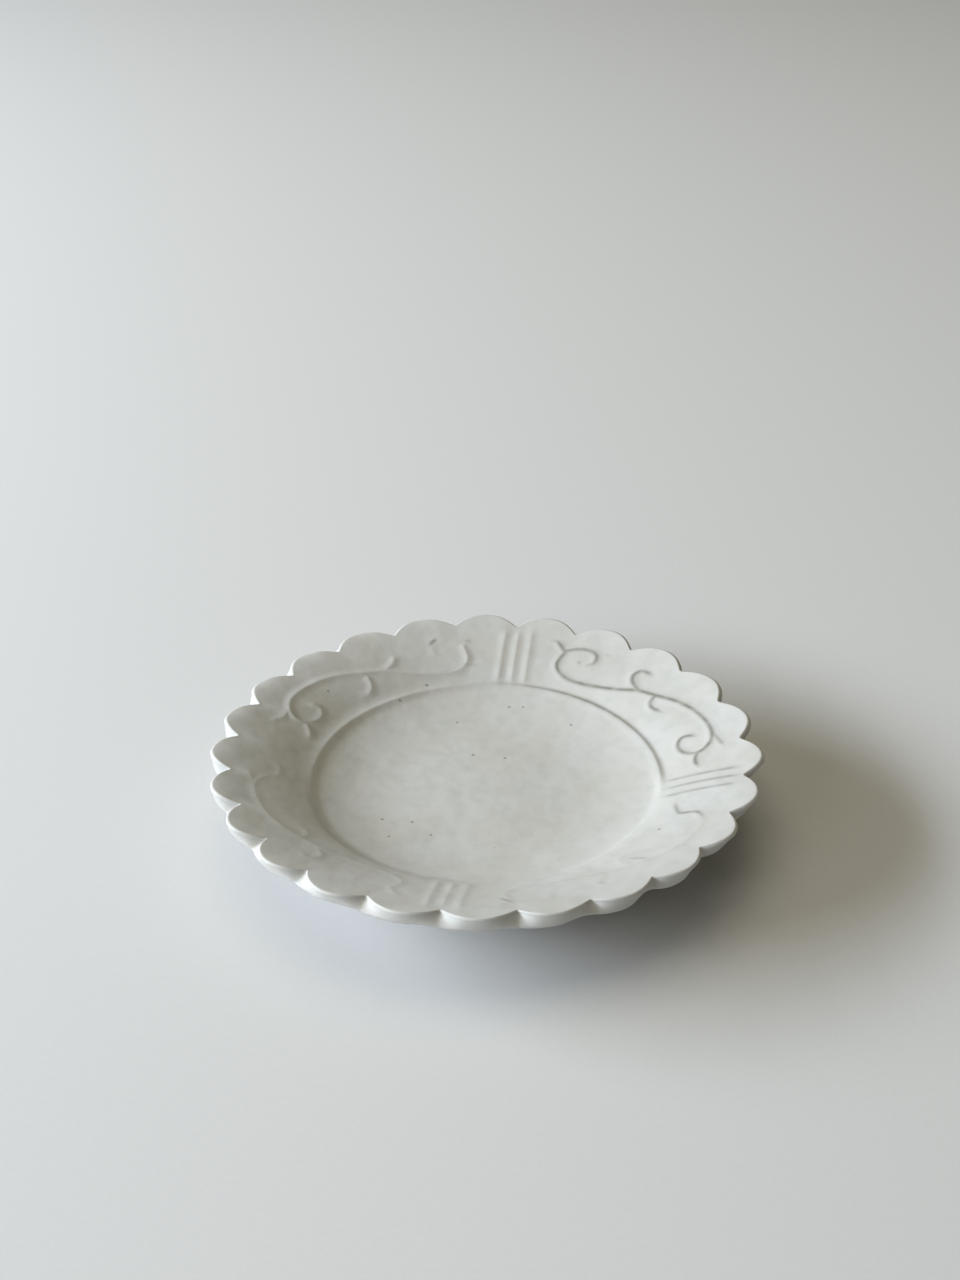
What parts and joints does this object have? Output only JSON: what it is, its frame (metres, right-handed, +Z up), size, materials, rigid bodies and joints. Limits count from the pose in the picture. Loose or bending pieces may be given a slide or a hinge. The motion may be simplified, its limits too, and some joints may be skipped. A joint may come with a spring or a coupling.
{
  "type": "small plate",
  "caption": "Small round footed plate with a softly dished well, a flared rim edged in round petals, and raised ribs and vine scrolls on the rim.",
  "frame": {"origin": "middle of the face that the foot ring stands on", "axes": "+Z up out of the dish; the groups of ribs lie on X and Y, with the back group on +Y and the right group on +X"},
  "size_m": [0.1488, 0.1488, 0.0247],
  "materials": {
    "white_glaze": "satin matt off-white glaze with small iron specks",
    "bare_clay": "unglazed fired clay, rubbed smooth"
  },
  "bodies": {
    "root": {"plate_body": "white_glaze", "foot_ring": "bare_clay", "well_bead": "white_glaze", "rib_back_1": "white_glaze", "rib_back_2": "white_glaze", "rib_back_3": "white_glaze", "rib_left_1": "white_glaze", "rib_left_2": "white_glaze", "rib_left_3": "white_glaze", "rib_front_1": "white_glaze", "rib_front_2": "white_glaze", "rib_front_3": "white_glaze", "rib_right_1": "white_glaze", "rib_right_2": "white_glaze", "rib_right_3": "white_glaze", "scroll_back_right": "white_glaze", "scroll_back_left": "white_glaze", "scroll_front_left": "white_glaze", "scroll_front_right": "white_glaze"}
  },
  "joints": []
}
